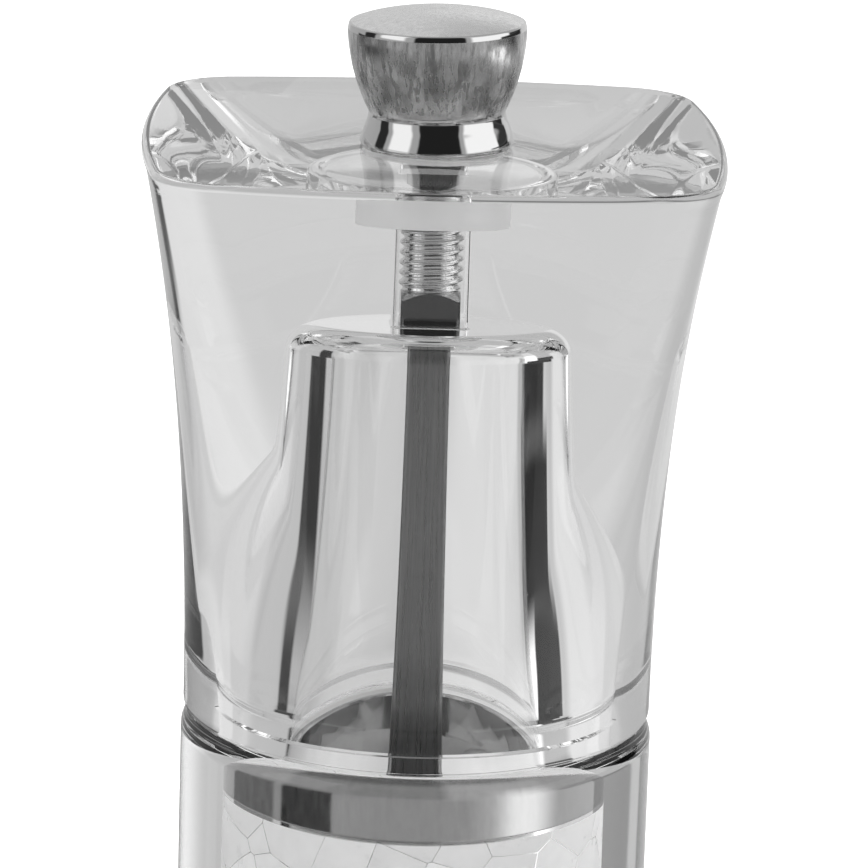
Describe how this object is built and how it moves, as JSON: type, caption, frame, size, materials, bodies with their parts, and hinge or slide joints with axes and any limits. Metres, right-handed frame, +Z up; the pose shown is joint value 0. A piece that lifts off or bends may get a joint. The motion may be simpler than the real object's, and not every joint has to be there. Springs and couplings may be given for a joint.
{
  "type": "pepper mill",
  "caption": "Hand-turned pepper mill with a clear round body, a clear squared head that turns a square steel bar, a conical grinder in the base and a waisted steel knob that sets the grind.",
  "frame": {"origin": "centre of the base, on the surface the mill stands on", "axes": "+Z up along the turning axis; +X and +Y square to the head's flat faces"},
  "size_m": [0.0536, 0.0536, 0.1365],
  "materials": {
    "acrylic": "clear polished acrylic with fine handling scratches",
    "polished_steel": "polished steel, bright turned foot, slightly scuffed upper part",
    "bar_steel": "drawn bar with fine lengthwise streaks",
    "spring_steel": "bright spring wire and pressed washers",
    "screw_steel": "bright zinc plate",
    "nylon": "translucent natural nylon, machined",
    "ceramic": null,
    "moulding": "black moulded plastic, fine texture"
  },
  "bodies": {
    "mill_body": {"body": "acrylic", "top_collar": "polished_steel", "grinder_housing": "moulding", "stator_ring": "ceramic", "retainer_ring": "moulding", "bridge": "moulding", "shaft_bearing": "nylon", "housing_screw_1": "screw_steel", "housing_screw_2": "screw_steel", "housing_screw_3": "screw_steel"},
    "turning": {"spring_washer": "spring_steel", "spring": "spring_steel"},
    "spindle": {"drive_shaft": "bar_steel", "spring_seat": "spring_steel", "rotor": "ceramic", "rotor_washer": "spring_steel", "rotor_nut": "screw_steel"},
    "head_unit": {"head": "acrylic", "stud_bush": "nylon"},
    "knob_unit": {"knob": "polished_steel"}
  },
  "joints": [
    {"name": "grind_turn", "type": "hinge", "parent": "mill_body", "child": "turning", "pos_m": [0, 0, 0], "axis": [0, 0, 1], "continuous": true},
    {"name": "grind_adjust", "type": "slide", "parent": "turning", "child": "spindle", "axis": [0, 0, 1], "range_m": [-0.001, 0.0005], "deforming": ["spring"]},
    {"name": "head_lift", "type": "slide", "parent": "turning", "child": "head_unit", "axis": [0, 0, 1], "range_m": [0, 0.07]},
    {"name": "knob_turn", "type": "hinge", "parent": "head_unit", "child": "knob_unit", "pos_m": [0, 0, 0.1246], "axis": [0, 0, 1], "range_deg": [-180, 360]}
  ],
  "couplings": [
    {"joint": "knob_turn", "follows": "grind_adjust", "rad_per_m": -6283}
  ]
}
